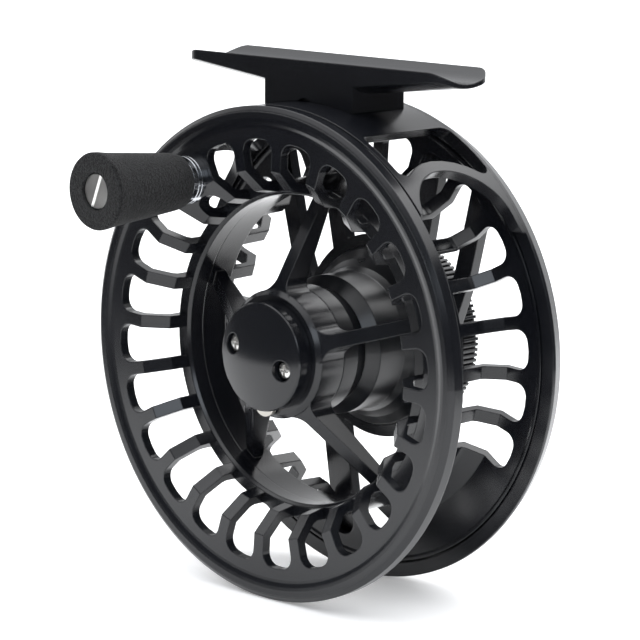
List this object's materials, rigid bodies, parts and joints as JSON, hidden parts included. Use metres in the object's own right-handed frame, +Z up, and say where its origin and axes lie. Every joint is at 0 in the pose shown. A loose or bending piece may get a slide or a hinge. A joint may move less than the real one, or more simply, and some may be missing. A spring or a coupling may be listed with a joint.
{
  "type": "fly reel",
  "caption": "Large-arbour fly reel with an open half frame, ported spoked spool, rear drag knob and crank grip.",
  "frame": {"origin": "middle of the foot's seat, at the bottom of its trough, where the rod lies", "axes": "+Z up out of the seat, X along the rod and the foot, Y along the spool axis with the crank side towards -Y"},
  "size_m": [0.0944, 0.0651, 0.1022],
  "materials": {
    "black_anodised": "satin anodised",
    "black_gloss": "turned and anodised",
    "bright_steel": "turned",
    "dark_steel": "blackened",
    "brass": "machined",
    "foam": "fine closed-cell foam",
    "seal_rubber": "smooth",
    "nylon": "turned",
    "carbon": "woven"
  },
  "bodies": {
    "frame": {"frame": "black_anodised", "reel_foot": "black_anodised", "foot_screws": "dark_steel", "spindle": "bright_steel", "drag_hub": "bright_steel", "drag_seal": "seal_rubber", "drag_housing": "black_gloss", "housing_screws": "dark_steel", "carbon_discs": "carbon", "steel_discs": "bright_steel", "pressure_plate": "bright_steel", "spring_washers": "bright_steel", "knob_screw": "bright_steel", "knob_washer": "bright_steel"},
    "thrust": {"thrust_ring": "bright_steel", "push_pins": "bright_steel", "drag_nut": "brass"},
    "knob": {"drag_knob": "black_anodised", "knob_seal": "seal_rubber"},
    "spool": {"spool_front": "black_anodised", "spool_core": "black_anodised", "spool_rear": "black_anodised", "hub_sleeve": "black_gloss", "hub_cap": "black_gloss", "cap_screws": "bright_steel", "latch_spring": "bright_steel", "front_bearing": "bright_steel", "one_way_clutch": "bright_steel", "rear_bearing": "bright_steel", "handle_shaft": "bright_steel", "handle_collar": "bright_steel"},
    "latch": {"release_latch": "bright_steel"},
    "grip": {"handle_grip": "foam", "grip_sleeve": "nylon"}
  },
  "joints": [
    {"name": "spool_spin", "type": "hinge", "parent": "frame", "child": "spool", "pos_m": [0, 0, -0.0526], "axis": [0, 1, 0], "continuous": true},
    {"name": "grip_spin", "type": "hinge", "parent": "spool", "child": "grip", "pos_m": [-0.02119, -0.03, -0.02118], "axis": [0, 1, 0], "continuous": true},
    {"name": "knob_turn", "type": "hinge", "parent": "frame", "child": "knob", "pos_m": [0, 0.02, -0.0526], "axis": [0, -1, 0], "range_deg": [0, 330]},
    {"name": "thrust_feed", "type": "slide", "parent": "frame", "child": "thrust", "axis": [0, -1, 0], "range_m": [0, 0.000685], "deforming": ["spring_washers"]},
    {"name": "latch_press", "type": "slide", "parent": "spool", "child": "latch", "axis": [0.1045, 0, 0.9945], "range_m": [0, 0.0012], "stiffness_N_per_m": 400, "springref_m": -0.002, "deforming": ["latch_spring"]}
  ],
  "couplings": [
    {"joint": "knob_turn", "follows": "thrust_feed", "rad_per_m": 8377.6}
  ]
}
